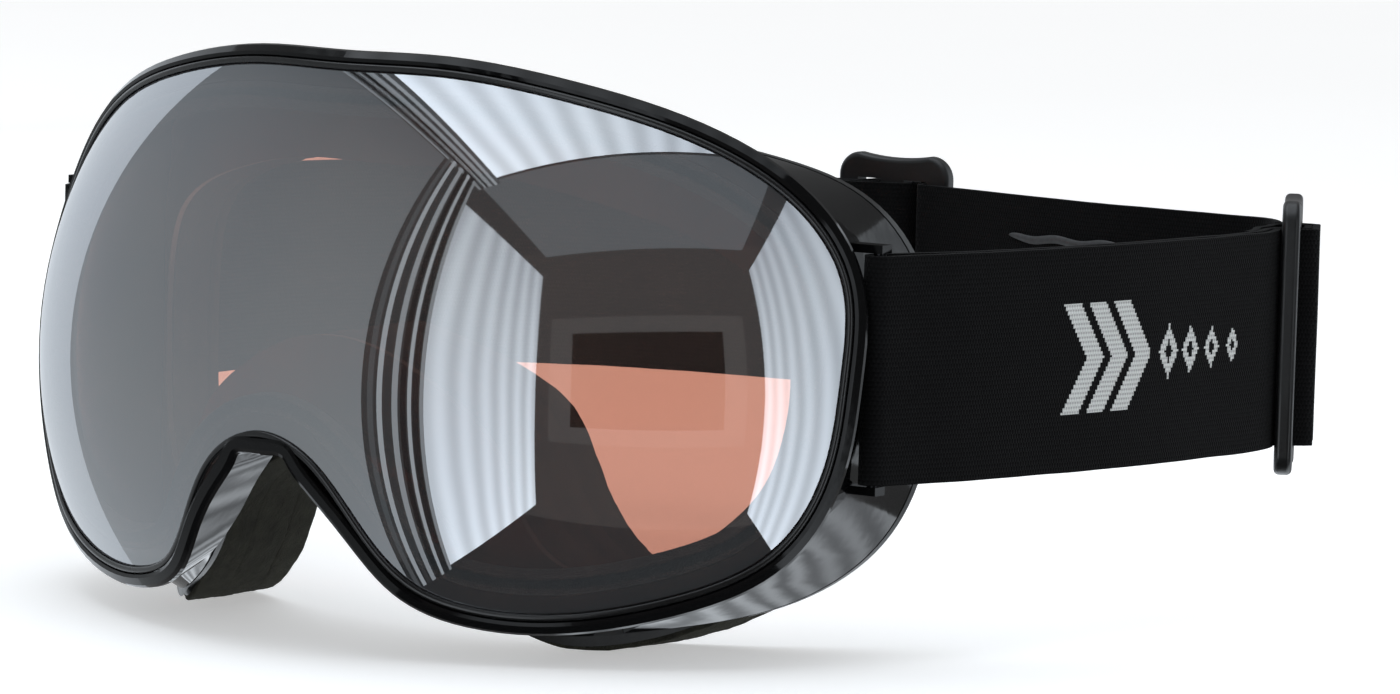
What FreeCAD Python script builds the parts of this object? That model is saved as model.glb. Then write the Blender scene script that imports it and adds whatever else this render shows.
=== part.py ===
import FreeCAD, Part
import math
import os

# Ski goggles with a mirrored spherical lens, a three-layer face foam and a webbing strap with two
# adjusters.  Millimetres.  +X is the wearer's left, +Y points backwards into the face, +Z is up.
# The origin is the middle of the face contact, on the centre plane of the strap.

V = FreeCAD.Vector

# ---- driving dimensions --------------------------------------------------------------------------
LENS_RX, LENS_RY, LENS_RZ = 100.0, 100.0, 90.0    # semi-axes of the outer lens surface
LENS_APEX_Y, LENS_APEX_Z = -50.0, -8.0            # foremost point of the lens
LENS_T = 1.5                                      # outer lens sheet
AIR_GAP = 4.0                                     # between the two lenses
INNER_T = 0.9                                     # inner lens sheet
FACE_R = 95.0                                     # radius of the face contact, seen from above
FOAM_T = 14.5                                     # face foam, all layers
NOSE_RISE = 14.0                                  # frame cut forward round the nose
FLANGE_T = 1.6                                    # plate that carries the foam
WALL_T = 1.8                                      # side wall of the frame
RIM_W, RIM_T = 4.3, 3.0                           # band around the lens
GAP = 0.1                                         # fitted clearance
RIM_NOSE = 8.0                                    # extra depth of that band round the nose
EDGE_CUT = 8.0                                    # reach of the ring that squares a lens edge
EDGE_SLACK = 0.5, 1.5                             # beyond the edge and beyond each face, for that ring
VENT_FOAM = 0.22, 0.80                            # vent foam, as fractions of the wall's depth
VENT_FOAM_T = 1.4
STRAP_W, STRAP_T = 40.0, 1.4                      # webbing
BAR_R = 1.1                                       # anchor bars
SLIDER_L, SLIDER_W, SLIDER_T = 24.6, 50.5, 3.3    # along the strap, across it, thick
SLOT_L, SLOT_W = 5.2, 40.8                        # the two slots of an adjuster
HALF_STATIONS = 46                                # sections in one half of a ring

# Right-hand half of the three leading outlines in the X-Z plane, from the top centre round the
# side to the nose.  Rows with the same number face each other.
LENS_EDGE = [(0, 48.3), (20, 48.2), (42, 44.9), (62, 38.4), (76.2, 28.5), (84.5, 15), (86.4, -1),
             (84.4, -18.5), (76.5, -32.4), (63.5, -39.2), (48, -42.4), (36, -41.8), (27.2, -38.6),
             (17.8, -27), (8.8, -16.1), (0, -13.1)]
FRAME_REAR = [(0, 45), (20, 45), (42, 42.2), (60.5, 37), (75.2, 29.7), (82.4, 15), (83.8, -3), (83, -19.5),
              (78.2, -34.5), (67, -44), (50, -47.8), (38, -47.5), (29.3, -42), (22.1, -29.5), (12, -18.5),
              (0, -14.8)]
FOAM_OUTER = [(0, 40), (19, 40), (38.5, 36.5), (56, 30.5), (68.5, 22.5), (76.5, 12), (79, -3), (78, -17),
              (73, -30), (63, -42.5), (49, -49.8), (38, -48.5), (31.3, -42), (26.3, -31.8), (15.2, -21.4),
              (0, -15.8)]
FOAM_INNER = [(0, 31), (17, 31), (36, 27.5), (51, 22.5), (61, 16), (66.5, 7), (68, -4), (67, -15),
              (63.5, -25), (56, -33), (48.5, -37), (43, -36), (37.5, -29), (31.5, -14.5), (18, -3), (0, 2.5)]


def knots(points):
    """Running chord length of an outline, used as the shared parameter of all three."""
    total = [0.0]
    for a, b in zip(points, points[1:]):
        total.append(total[-1] + math.hypot(b[0] - a[0], b[1] - a[1]))
    return total


KNOTS = knots(LENS_EDGE)
LENGTH = KNOTS[-1]


def outline(points):
    curve = Part.BSplineCurve()
    curve.interpolate(Points=[V(x, 0, z) for x, z in points], Parameters=KNOTS,
                      InitialTangent=V(1, 0, 0), FinalTangent=V(-1, 0, 0))
    return curve


EDGE = outline(LENS_EDGE)
REAR = outline(FRAME_REAR)
OUTER = outline(FOAM_OUTER)
INNER = outline(FOAM_INNER)


def lens_y(x, z, inset=0.0):
    """Depth of the lens surface, or of the same surface moved inwards by `inset`."""
    rx, ry, rz = LENS_RX - inset, LENS_RY - inset, LENS_RZ - inset
    inside = 1 - (x / rx) ** 2 - ((z - LENS_APEX_Z) / rz) ** 2
    return LENS_APEX_Y + LENS_RY - ry * math.sqrt(max(inside, 0.0))


def face_y(x):
    """Depth of the face contact."""
    return FACE_R - math.sqrt(FACE_R ** 2 - x * x)


def nose_rise(t):
    """How far the rear of the frame stands forward of its usual place, near the nose."""
    f = min(max((t - KNOTS[9]) / (KNOTS[12] - KNOTS[9]), 0.0), 1.0)
    return NOSE_RISE * f * f * (3 - 2 * f)


def rim_depth(t):
    """Depth of the band behind the lens surface; it grows round the nose."""
    f = min(max((t - KNOTS[11]) / (KNOTS[13] - KNOTS[11]), 0.0), 1.0)
    return RIM_T + RIM_NOSE * f * f * (3 - 2 * f)


def normal2d(curve, t):
    """Unit vector in the X-Z plane pointing away from the lens opening."""
    tangent = curve.tangent(t)[0]
    n = V(-tangent.z, 0, tangent.x)
    return n.multiply(1 / n.Length)


class Station:
    """Local frames of one section: `lip` follows the lens surface, `rear` the face contact."""

    def __init__(self, t):
        self.t = t
        p = EDGE.value(t)
        self.edge = V(p.x, lens_y(p.x, p.z), p.z)
        grad = V(p.x / LENS_RX ** 2, (self.edge.y - LENS_APEX_Y - LENS_RY) / LENS_RY ** 2,
                 (p.z - LENS_APEX_Z) / LENS_RZ ** 2)
        self.n = grad.normalize()
        flat = normal2d(EDGE, t)
        along = V(flat.z, 0, -flat.x)
        along.y = -(self.n.x * along.x + self.n.z * along.z) / self.n.y
        self.m = along.cross(self.n).normalize()
        if self.m.dot(flat) < 0:
            self.m = self.m.multiply(-1)
        if p.x < 1e-6:
            self.m.x = 0
            self.n.x = 0
        self.out = normal2d(REAR, t)
        self.back = REAR.value(t)
        self.outer = OUTER.value(t)
        self.inner = INNER.value(t)

    def lip(self, u, w):
        """Point u outwards along the lens surface and w in front of it."""
        return self.edge + V(self.m).multiply(u) + V(self.n).multiply(w)

    def rear(self, o, y):
        """Point o outside the rear edge of the frame, y behind the face contact."""
        return V(self.back.x, face_y(self.back.x) + y, self.back.z) + V(self.out).multiply(o)

    def foam(self, f, y, bulge=0.0):
        """Point at the fraction f from the outer to the inner edge of the foam."""
        p = self.outer + V(self.inner - self.outer).multiply(f) + V(self.out).multiply(bulge)
        return V(p.x, face_y(p.x) + y, p.z)


def sections(section, t0, t1, count):
    return [section(Station(t0 + (t1 - t0) * i / (count - 1))) for i in range(count)]


def closed_wire(points):
    return Part.makePolygon(points + points[:1])


def facing_out(solid):
    if solid.Volume < 0:
        solid.reverse()
    return solid


def loft(section, t0, t1, count):
    wires = [closed_wire(p) for p in sections(section, t0, t1, count)]
    return facing_out(Part.makeLoft(wires, True, False))


def mirrored(shape):
    return shape.mirror(V(0, 0, 0), V(1, 0, 0))


def ring(section):
    """Closed ring through the sections of the right half and their mirror images."""
    right = sections(section, 0.0, LENGTH, HALF_STATIONS)
    left = [[V(-p.x, p.y, p.z) for p in points] for points in right[-2:0:-1]]
    return Part.makeLoft([closed_wire(p) for p in right + left], True, False, True)


def box(x0, x1, y0, y1, z0, z1):
    return Part.makeBox(x1 - x0, y1 - y0, z1 - z0, V(x0, y0, z0))


def save(name, *shapes):
    shape = shapes[0] if len(shapes) == 1 else Part.makeCompound(list(shapes))
    shape.exportStep("parts/" + name + ".step")


# ---- lenses --------------------------------------------------------------------------------------
def ellipsoid(inset):
    ball = Part.makeSphere(1.0, V(0, 0, 0), V(1, 0, 0))
    scale = FreeCAD.Matrix()
    scale.scale(LENS_RX - inset, LENS_RY - inset, LENS_RZ - inset)
    scale.move(V(0, LENS_APEX_Y + LENS_RY, LENS_APEX_Z))
    return ball.transformGeometry(scale)


def lens(inset, thickness, grow):
    """Sheet between two ellipsoids; its edge stands `grow` outside the lens opening, square to the sheet."""
    points = []
    for i in range(HALF_STATIONS):
        t = LENGTH * i / (HALF_STATIONS - 1)
        points.append(EDGE.value(t) + normal2d(EDGE, t).multiply(grow + EDGE_SLACK[0]))
    points[0].x = 0
    points[-1].x = 0
    curve = Part.BSplineCurve()
    curve.interpolate(Points=points, InitialTangent=V(1, 0, 0), FinalTangent=V(-1, 0, 0))
    right = curve.toShape()
    wire = Part.Wire(Part.__sortEdges__([right, mirrored(right)]))
    prism = Part.Face(wire).extrude(V(0, 95, 0))
    prism.translate(V(0, -60, 0))
    sheet = prism.common(ellipsoid(inset)).cut(ellipsoid(inset + thickness))

    def outside(s):
        front, back = EDGE_SLACK[1] - inset, -inset - thickness - EDGE_SLACK[1]
        return [s.lip(grow, front), s.lip(grow, back), s.lip(EDGE_CUT, back), s.lip(EDGE_CUT, front)]

    return sheet.cut(ring(outside))


# ---- rings of the frame --------------------------------------------------------------------------
def rim(s):
    """Band around the lens, with the rebate its edge sits in."""
    depth = rim_depth(s.t)
    return [s.lip(1.3, 0.9), s.lip(1.8, 1.3), s.lip(RIM_W - 1.0, 1.2), s.lip(RIM_W - 0.3, 0.7),
            s.lip(RIM_W, 0.0), s.lip(RIM_W - 0.3, -depth), s.lip(-2.4, -depth),
            s.lip(-2.4, -LENS_T - GAP), s.lip(1.6, -LENS_T - GAP), s.lip(1.6, 0.15), s.lip(1.3, 0.15)]


def bead(s):
    """Soft lip pressed between the lens and the band."""
    return [s.lip(0, 0.12), s.lip(0.1, 0.5), s.lip(0.6, 0.75), s.lip(1.2, 0.6), s.lip(1.2, 0.12)]


def spacer(s):
    back = -LENS_T - AIR_GAP + GAP
    return [s.lip(-2.6, -LENS_T - GAP), s.lip(-2.6, back), s.lip(-6.0, back), s.lip(-6.0, -LENS_T - GAP)]


def wall(s):
    y, depth = -FOAM_T - FLANGE_T - nose_rise(s.t) - 3 * GAP, rim_depth(s.t) + GAP
    return [s.lip(2.2, -depth), s.rear(0, y), s.rear(-WALL_T, y), s.lip(2.2 - WALL_T, -depth)]


def flange(s):
    back = -FOAM_T - nose_rise(s.t)
    front = back - FLANGE_T
    step = -WALL_T - GAP
    return [s.rear(GAP, back), s.rear(GAP, front), s.rear(step, front), s.foam(0.0, front),
            s.foam(0.97, front), s.foam(0.97, back), s.foam(0.0, back), s.rear(step, back)]


def foam_layer(front, back, swell, inset, rise, lean):
    """One foam layer; `swell` is how far its outer side bulges, `lean` the share of that at its
    front edge, `rise` its share of the nose rise."""
    def section(s):
        lift = nose_rise(s.t)
        y0, y1 = front - lift * (rise + 1) / 3, back - lift * rise / 3
        mid = (y0 + y1) / 2
        return [s.foam(inset, y0, swell * lean), s.foam(inset, mid, swell), s.foam(inset, y1, swell * 0.9),
                s.foam(0.5, y1), s.foam(0.97, y1), s.foam(1.0, mid), s.foam(0.97, y0)]
    return section


save("outer_lens", lens(0.0, LENS_T, 1.4))
save("inner_lens", lens(LENS_T + AIR_GAP, INNER_T, -3.0))
save("lens_spacer", ring(spacer))
save("rim_band", ring(rim))
save("rim_bead", ring(bead))
save("foam_flange", ring(flange))
save("foam_base", ring(foam_layer(-FOAM_T + 3 * GAP, -9.2, 1.2, 0.01, 2.0, 0.6)))
save("foam_middle", ring(foam_layer(-9.0, -3.5, 1.4, 0.0, 1.0, 0.85)))
save("face_fleece", ring(foam_layer(-3.3, 0.0, 1.3, 0.0, 0.0, 0.95)))


# ---- vents ---------------------------------------------------------------------------------------
TOP_VENT_X = [-45, -27, -9, 9, 27, 45]
LOW_VENT_X = [-52, 52]
VENT_W, VENT_D = 13.0, 4.5


def vent_y(x, z):
    """Middle of the wall between the rim and the flange."""
    return (lens_y(x, z) + RIM_T + face_y(x) - FOAM_T - FLANGE_T) / 2


def vents(xs, z, height, grow):
    """Blocks standing in the wall openings; `grow` is their clearance."""
    blocks = []
    for x in xs:
        y = vent_y(x, z)
        blocks.append(box(x - VENT_W / 2 + grow, x + VENT_W / 2 - grow, y - VENT_D / 2 + grow,
                          y + VENT_D / 2 - grow, z - height / 2, z + height / 2))
    return blocks


wall_shape = ring(wall)
for block in vents(TOP_VENT_X, 45, 14, 0) + vents(LOW_VENT_X, -46, 14, 0):
    wall_shape = wall_shape.cut(block)
save("frame_wall", wall_shape)


def vent_strip(t0, t1):
    """Open-cell strip glued inside the wall, over the openings."""
    def section(s):
        y = -FOAM_T - FLANGE_T - nose_rise(s.t)
        start, end = s.lip(1.6 - WALL_T, -RIM_T - GAP), s.rear(-WALL_T - 0.4, y - 0.4)
        front, back = start + (end - start) * VENT_FOAM[0], start + (end - start) * VENT_FOAM[1]
        slope = V(s.out).multiply(-VENT_FOAM_T)
        return [front, back, back + slope, front + slope]
    return loft(section, t0, t1, 14)


top_strip = vent_strip(0.0, KNOTS[3] * 0.86)
save("top_vent_foam", top_strip.fuse(mirrored(top_strip)))
low_strip = vent_strip(KNOTS[9] * 1.02, KNOTS[10] * 1.01)
save("low_vent_foam", low_strip, mirrored(low_strip))


# ---- strap path ----------------------------------------------------------------------------------
# Seen from above: from the left anchor bar round the back of the head to the right one.
STRAP_PATH = [(89.3, 9.7), (92.1, 17), (95.8, 26), (100.2, 40), (104.4, 55), (107.8, 70), (110.3, 85),
              (112, 97), (112.4, 104.5), (111, 110.6), (107, 118.2), (103, 125.8), (98.4, 129.6),
              (90, 130.6), (80, 130.8), (62, 132), (45, 134.6), (30, 137.8), (20, 139.5), (10, 139.9),
              (0, 139.5), (-12, 138.4), (-32, 135.5), (-55, 128.5), (-75, 115), (-89, 96), (-95.6, 75), (-97, 52),
              (-95, 32), (-92.1, 17), (-89.3, 9.7)]
BAR = V(87.4, 10.4, 0)                             # left anchor bar
LEFT_SLIDER, RIGHT_SLIDER = V(107, 118.2, 0), V(10, 139.9, 0)
LAYER = STRAP_T + 0.6                              # pitch of two strap layers

path = Part.BSplineCurve()
path.interpolate([V(x, y, 0) for x, y in STRAP_PATH])
PATH_LENGTH = path.length()


def along(s, level):
    """Point at arc length s, `level` outside the middle of the webbing."""
    u = path.parameterAtDistance(min(max(s, 0.0), PATH_LENGTH), path.FirstParameter)
    tangent = path.tangent(u)[0]
    return path.value(u) + V(tangent.y, -tangent.x, 0).multiply(level)


def arc_length(point):
    return path.length(path.FirstParameter, path.parameter(point))


LEFT_S, RIGHT_S = arc_length(LEFT_SLIDER), arc_length(RIGHT_SLIDER)


def ribbon(middle, thickness=STRAP_T, z0=-STRAP_W / 2, z1=STRAP_W / 2, first=0, last=None):
    """Webbing that follows a row of plan points, or those from `first` to `last` only."""
    wires = []
    for i, p in enumerate(middle):
        d = middle[min(i + 1, len(middle) - 1)] - middle[max(i - 1, 0)]
        half = V(d.y, -d.x, 0).normalize().multiply(thickness / 2)
        corners = [p + half, p - half]
        wires.append(closed_wire([V(c.x, c.y, z) for c, z in zip(corners + corners[::-1], (z0, z0, z1, z1))]))
    last = len(middle) - 1 if last is None else last
    return facing_out(Part.makeLoft(wires[first:last + 1], True, True))


def smooth(x):
    x = min(max(x, 0.0), 1.0)
    return x * x * (3 - 2 * x)


# ---- adjusters -----------------------------------------------------------------------------------
MIDDLE_BAR = 2.6                                   # half width of the middle bar
PLATE_LEVEL = STRAP_T / 2 + 0.4 + SLIDER_T / 2     # middle of the plate above the webbing
PASS_LEVEL = PLATE_LEVEL + SLIDER_T / 2 + 0.62 + STRAP_T * 1.5  # webbing over the middle bar


def slider_plate():
    """Plate in its own axes: X along the strap, Y across its thickness, Z up."""
    hl, hw, r, dip = SLIDER_L / 2, SLIDER_W / 2, 4.5, 0.7
    k = r * (1 - math.sqrt(0.5))
    edges = []
    for side in (1, -1):
        top, mid = side * hw, side * (hw - dip)
        edges.append(Part.Arc(V(-hl + r, 0, top), V(0, 0, mid), V(hl - r, 0, top)).toShape())
        for x in (1, -1):
            edges.append(Part.Arc(V(x * (hl - r), 0, top), V(x * (hl - k), 0, side * (hw - k)),
                                  V(x * hl, 0, side * (hw - r))).toShape())
            if side == 1:
                edges.append(Part.makeLine(V(x * hl, 0, hw - r), V(x * hl, 0, r - hw)))
    plate = Part.Face(Part.Wire(Part.__sortEdges__(edges))).extrude(V(0, SLIDER_T, 0))
    plate.translate(V(0, -SLIDER_T / 2, 0))
    rims = [e for e in plate.Edges if abs(abs(e.CenterOfMass.y) - SLIDER_T / 2) < 1e-6]
    plate = plate.makeFillet(1.0, rims)
    for x in (-MIDDLE_BAR - SLOT_L, MIDDLE_BAR):
        plate = plate.cut(box(x, x + SLOT_L, -5, 5, -SLOT_W / 2, SLOT_W / 2))
    return plate


def placed(shape, s, level=0.0):
    """Moves a shape from its own axes to the arc length s of the strap, `level` outside its middle."""
    tangent = path.tangent(path.parameterAtDistance(s, path.FirstParameter))[0]
    turn = FreeCAD.Rotation(tangent, V(tangent.y, -tangent.x, 0), V(0, 0, 1), "XYZ")
    copy = shape.copy()
    copy.Placement = FreeCAD.Placement(along(s, level), turn)
    return copy


save("slider_left", placed(slider_plate(), LEFT_S, PLATE_LEVEL))
save("slider_right", placed(slider_plate(), RIGHT_S, PLATE_LEVEL))


# ---- webbing -------------------------------------------------------------------------------------
def band_level(s):
    """The band rises through one slot, over the middle bar and down through the other."""
    level = 0.0
    for centre in (LEFT_S, RIGHT_S):
        level = max(level, PASS_LEVEL * smooth((MIDDLE_BAR + SLOT_L - 0.5 - abs(s - centre)) / 2.2))
    return level


def turn_round_bar():
    """Half turn of the band round the left anchor bar, from the tail to the outer layer."""
    outer = along(0, 0) - BAR
    points = []
    for i in range(7):
        angle = math.pi * (1 - i / 6)
        points.append(BAR + V(outer.x * math.cos(angle) + outer.y * math.sin(angle),
                              outer.y * math.cos(angle) - outer.x * math.sin(angle), 0))
    return points


def flipped(points):
    return [V(-p.x, p.y, p.z) for p in points]


EASE = 30.0                                        # webbing each side of an adjuster that gives way to it
PASS_STEPS = (-10, -8.4, -7.4, -6.9, -6.4, -6, -5.5, -5, -2.5, 2.5, 5, 5.5, 6, 6.4, 6.9, 7.4, 8.4, 10)
cuts = [LEFT_S - EASE, LEFT_S + EASE, RIGHT_S - EASE, RIGHT_S + EASE]
steps = [2.0 + i * 5.0 for i in range(int(PATH_LENGTH / 5.0))]
steps = [s for s in steps if min(abs(s - LEFT_S), abs(s - RIGHT_S)) > 12.5
         and min(abs(s - c) for c in cuts) > 1.5 and s < PATH_LENGTH - 3]
steps += cuts + [c + d for c in (LEFT_S, RIGHT_S) for d in PASS_STEPS]
steps.sort()
half_turn = turn_round_bar()
middle = half_turn + [along(s, band_level(s)) for s in steps] + flipped(half_turn)[::-1]
marks = [0] + [len(half_turn) + steps.index(c) for c in cuts] + [len(middle) - 1]
RUNS = ("webbing_side_left", "webbing_pass_left", "webbing_back", "webbing_pass_right", "webbing_side_right")
for name, first, last in zip(RUNS, marks, marks[1:]):
    save(name, ribbon(middle, first=first, last=last))

TAIL_START = 0.6                                   # clear of the half turn round the anchor bar
TAIL_END = 17.0                                    # sewn end, in front of the adjuster


def tail(start, end):
    """Inner layer between an anchor and the sewn end."""
    bend = 24.0
    reach = abs(end - start)
    points = []
    for i in range(int(reach / 4) + 1):
        d = max(reach * i / int(reach / 4), TAIL_START)
        level = -LAYER - (2 * (BAR - along(0, 0)).Length - LAYER) * (1 - smooth(d / bend))
        points.append(along(start + (d if end > start else -d), level))
    return points


save("webbing_tail_left", ribbon(tail(0.0, LEFT_S - TAIL_END)))
save("webbing_tail_right", ribbon(tail(PATH_LENGTH, RIGHT_S + TAIL_END)))


def sewn_end():
    """End of the tail in the adjuster's own axes: round the middle bar and sewn to itself."""
    low = -LAYER
    clear = 0.4 + STRAP_T / 2
    rise, half = PLATE_LEVEL, MIDDLE_BAR + clear
    top, bottom = rise + SLIDER_T / 2 + clear, rise - SLIDER_T / 2 - clear
    corner = 1.0
    points = [V(-TAIL_END + 0.3, low, 0), V(-12, low, 0), V(-8, low + 0.1, 0), V(-half - 1.3, bottom - 0.6, 0),
              V(-half, bottom + corner, 0), V(-half, rise, 0), V(-half, top - corner, 0),
              V(-half + corner, top, 0), V(0, top, 0), V(half - corner, top, 0), V(half, top - corner, 0),
              V(half, rise, 0), V(half, bottom + corner, 0), V(half - corner, bottom - 0.4, 0),
              V(-1, bottom - 1.5, 0), V(-5, low - LAYER + 0.5, 0), V(-10, low - LAYER + 0.3, 0),
              V(-TAIL_END + 1, low - LAYER + 0.3, 0)]
    smoothed = Part.BSplineCurve()
    smoothed.interpolate(points)
    count = 26
    span = smoothed.LastParameter - smoothed.FirstParameter
    return [smoothed.value(smoothed.FirstParameter + span * i / count) for i in range(count + 1)]


STITCH_ROWS = (-14.6, -9.4)                        # rows of thread across the sewn end
STITCH_LEVEL = -LAYER * 2 + 0.3 - STRAP_T / 2      # inner face of the sewn end
STITCH_COUNT = 13                                  # in a row
STITCH_L, STITCH_PITCH, STITCH_W = 2.0, 2.75, 0.6
STITCH_SINK = 0.3, 0.08                            # thickness of a stitch and its clearance


def stitches(s):
    """One row of thread at the arc length s."""
    row = []
    for i in range(STITCH_COUNT):
        z = (i - (STITCH_COUNT - 1) / 2) * STITCH_PITCH
        row.append(box(-STITCH_W / 2, STITCH_W / 2, -STITCH_SINK[0], 0.0, z - STITCH_L / 2, z + STITCH_L / 2))
    return [placed(stitch, s, STITCH_LEVEL - STITCH_SINK[1]) for stitch in row]


for name, centre, way in (("left", LEFT_S, 1), ("right", RIGHT_S, -1)):
    save("webbing_loop_" + name, ribbon([along(centre + way * p.x, p.y) for p in sewn_end()]))
    save("stitching_" + name, *[stitch for x in STITCH_ROWS for stitch in stitches(centre + way * x)])

GRIP = [along(LEFT_S + EASE + 1.5 + i * 3.0, -STRAP_T / 2 - 0.27) for i in range(15)]
lines = [ribbon(GRIP, 0.5, z - 0.6, z + 0.6) for z in (-12, 0, 12)]
save("grip_lines", *lines)


# ---- anchors -------------------------------------------------------------------------------------
LUG_IN, LUG_OUT = 20.3, 21.8                       # lugs above and below the webbing
LUG_REACH, LUG_HALF = 1.4, 1.6                     # outwards from the bar, and each side of it
POCKET = 21.0                                      # ends of the bar, inside the lugs
ANCHOR_IN = 3.0                                    # inner side of the blade, outside the lens edge
ANCHOR_TIP = 0.4                                   # thickness left at its tips
ANCHOR_GAP = 0.15                                  # behind the rim band


def station_at(z):
    """Parameter of the lens edge at height z on the outer side."""
    lo, hi = KNOTS[3], KNOTS[9]
    for _ in range(40):
        mid = (lo + hi) / 2
        if EDGE.value(mid).z > z:
            lo = mid
        else:
            hi = mid
    return lo


# Depth of the blade behind the rim, from its upper to its lower tip.
BLADE = [(31, 1.0), (28.5, 1.6), (26, 3.2), (24, 5.4), (LUG_OUT, 7.2), (LUG_IN, 7.2), (16, 4.5), (12, 2.8),
         (8, 1.6), (4, 1.1), (-4, 2.0), (-12, 3.1), (-16, 4.8), (-LUG_IN, 7.2), (-LUG_OUT, 7.2), (-24, 4.6),
         (-26, 3.0), (-28, 1.8), (-30, 1.0), (-32, 0.7)]


def anchor():
    wires = []
    for z, depth in BLADE:
        s = Station(station_at(z))
        taper = 0.08 if z < 0 else 0.05
        outer = RIM_W - 0.2
        inner = min(ANCHOR_IN + taper * max(0.0, abs(z) - 15), outer - ANCHOR_TIP)
        a, b = s.lip(inner, -RIM_T - ANCHOR_GAP), s.lip(outer, -RIM_T - ANCHOR_GAP)
        wires.append(closed_wire([a, b, b + V(0, depth, 0), a + V(0, depth, 0)]))
    parts = [facing_out(Part.makeLoft(list(pair), True, True)) for pair in zip(wires, wires[1:])]
    for near, far in ((LUG_IN, LUG_OUT), (-LUG_IN, -LUG_OUT)):
        root = Station(station_at(near)).lip(ANCHOR_IN, -RIM_T - ANCHOR_GAP).x + 0.3
        parts.append(box(root, BAR.x + LUG_REACH, BAR.y - LUG_HALF, BAR.y + LUG_HALF,
                         min(near, far), max(near, far)))
    body = parts[0].multiFuse(parts[1:]).removeSplitter()
    pocket = POCKET + GAP
    return body.cut(Part.makeCylinder(BAR_R + GAP / 2, 2 * pocket, V(BAR.x, BAR.y, -pocket)))


def bar():
    return Part.makeCylinder(BAR_R, 2 * POCKET, V(BAR.x, BAR.y, -POCKET))


left = anchor()
save("anchor_left", left)
save("anchor_right", mirrored(left))
save("anchor_bars", bar(), mirrored(bar()))
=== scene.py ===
import math

import bmesh
import bpy
import numpy as np
from mathutils import Matrix, Vector, noise
from mathutils.geometry import delaunay_2d_cdt


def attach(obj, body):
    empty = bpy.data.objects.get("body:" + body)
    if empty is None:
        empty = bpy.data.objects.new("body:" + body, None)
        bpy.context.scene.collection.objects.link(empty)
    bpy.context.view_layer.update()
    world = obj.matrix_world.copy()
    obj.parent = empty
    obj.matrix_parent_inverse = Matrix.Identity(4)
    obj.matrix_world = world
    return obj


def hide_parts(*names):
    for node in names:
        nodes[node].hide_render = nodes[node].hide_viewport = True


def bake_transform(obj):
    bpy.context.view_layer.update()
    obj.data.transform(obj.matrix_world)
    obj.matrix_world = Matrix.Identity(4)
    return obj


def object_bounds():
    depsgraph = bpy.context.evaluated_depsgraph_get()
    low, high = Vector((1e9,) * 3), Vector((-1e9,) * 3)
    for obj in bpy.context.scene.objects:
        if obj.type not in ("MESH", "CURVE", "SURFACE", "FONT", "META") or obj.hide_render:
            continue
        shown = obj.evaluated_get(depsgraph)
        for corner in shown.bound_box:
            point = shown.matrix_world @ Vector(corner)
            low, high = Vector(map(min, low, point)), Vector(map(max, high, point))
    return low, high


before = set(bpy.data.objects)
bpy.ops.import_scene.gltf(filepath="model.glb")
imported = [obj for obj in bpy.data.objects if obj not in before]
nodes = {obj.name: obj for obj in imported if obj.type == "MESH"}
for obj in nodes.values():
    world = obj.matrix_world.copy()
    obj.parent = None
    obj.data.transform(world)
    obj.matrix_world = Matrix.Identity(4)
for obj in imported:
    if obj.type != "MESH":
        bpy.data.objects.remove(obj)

# Ski goggles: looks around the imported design.  Same frame as the design: +X wearer's left,
# +Y backwards into the face, +Z up, origin in the middle of the face contact.  Shapes are worked
# out in millimetres and scaled to metres when their meshes are made.

CAD_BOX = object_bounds()
MM = 0.001
scene = bpy.context.scene

# ---- driving dimensions, as in the design ---------------------------------------------------------
LENS_RX, LENS_RY, LENS_RZ = 100.0, 100.0, 90.0
LENS_APEX_Y, LENS_APEX_Z = -50.0, -8.0
LENS_T, AIR_GAP, INNER_T = 1.5, 4.0, 0.9
FACE_R, FOAM_T, NOSE_RISE = 95.0, 14.5, 14.0
FLANGE_T, WALL_T, RIM_T, GAP = 1.6, 1.8, 3.0, 0.1
STRAP_W, STRAP_T = 40.0, 1.4
SLIDER_T, SLOT_L, MIDDLE_BAR = 3.3, 5.2, 2.6
LENS_EDGE = [(0, 48.3), (20, 48.2), (42, 44.9), (62, 38.4), (76.2, 28.5), (84.5, 15), (86.4, -1),
             (84.4, -18.5), (76.5, -32.4), (63.5, -39.2), (48, -42.4), (36, -41.8), (27.2, -38.6),
             (17.8, -27), (8.8, -16.1), (0, -13.1)]
FRAME_REAR = [(0, 45), (20, 45), (42, 42.2), (60.5, 37), (75.2, 29.7), (82.4, 15), (83.8, -3), (83, -19.5),
              (78.2, -34.5), (67, -44), (50, -47.8), (38, -47.5), (29.3, -42), (22.1, -29.5), (12, -18.5),
              (0, -14.8)]
FOAM_OUTER = [(0, 40), (19, 40), (38.5, 36.5), (56, 30.5), (68.5, 22.5), (76.5, 12), (79, -3), (78, -17),
              (73, -30), (63, -42.5), (49, -49.8), (38, -48.5), (31.3, -42), (26.3, -31.8), (15.2, -21.4),
              (0, -15.8)]
FOAM_INNER = [(0, 31), (17, 31), (36, 27.5), (51, 22.5), (61, 16), (66.5, 7), (68, -4), (67, -15),
              (63.5, -25), (56, -33), (48.5, -37), (43, -36), (37.5, -29), (31.5, -14.5), (18, -3), (0, 2.5)]
STRAP_PATH = [(89.3, 9.7), (92.1, 17), (95.8, 26), (100.2, 40), (104.4, 55), (107.8, 70), (110.3, 85),
              (112, 97), (112.4, 104.5), (111, 110.6), (107, 118.2), (103, 125.8), (98.4, 129.6),
              (90, 130.6), (80, 130.8), (62, 132), (45, 134.6), (30, 137.8), (20, 139.5), (10, 139.9),
              (0, 139.5), (-12, 138.4), (-32, 135.5), (-55, 128.5), (-75, 115), (-89, 96), (-95.6, 75),
              (-97, 52), (-95, 32), (-92.1, 17), (-89.3, 9.7)]
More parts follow.
